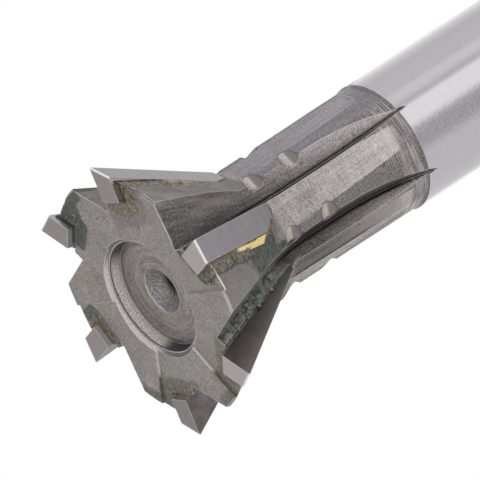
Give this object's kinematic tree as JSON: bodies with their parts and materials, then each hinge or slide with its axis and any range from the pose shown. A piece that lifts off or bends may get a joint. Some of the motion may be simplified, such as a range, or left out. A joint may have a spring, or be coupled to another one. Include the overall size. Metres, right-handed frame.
{
  "type": "dovetail cutter",
  "caption": "Dovetail milling cutter with a straight shank, a fluted neck and a flared head with brazed carbide tips, for milling undercut dovetail slots.",
  "frame": {"origin": "middle of the flat end of the shank, on the tool axis", "axes": "+Z along the tool axis from the shank end towards the cutting face, +X through the point of the first tooth"},
  "size_m": [0.0254, 0.0226, 0.07],
  "materials": {
    "tool_steel": "ground shank, turned neck, milled flutes, stained by brazing behind the tips",
    "carbide": "ground tungsten carbide",
    "braze": "brass braze, ground bright where the wheel met it and crusted elsewhere"
  },
  "bodies": {
    "root": {"cutter_body": "tool_steel", "carbide_tip_1": "carbide", "carbide_tip_2": "carbide", "carbide_tip_3": "carbide", "carbide_tip_4": "carbide", "carbide_tip_5": "carbide", "carbide_tip_6": "carbide", "braze_seam_1": "braze", "braze_seam_2": "braze", "braze_seam_3": "braze", "braze_seam_4": "braze", "braze_seam_5": "braze", "braze_seam_6": "braze"}
  },
  "joints": []
}
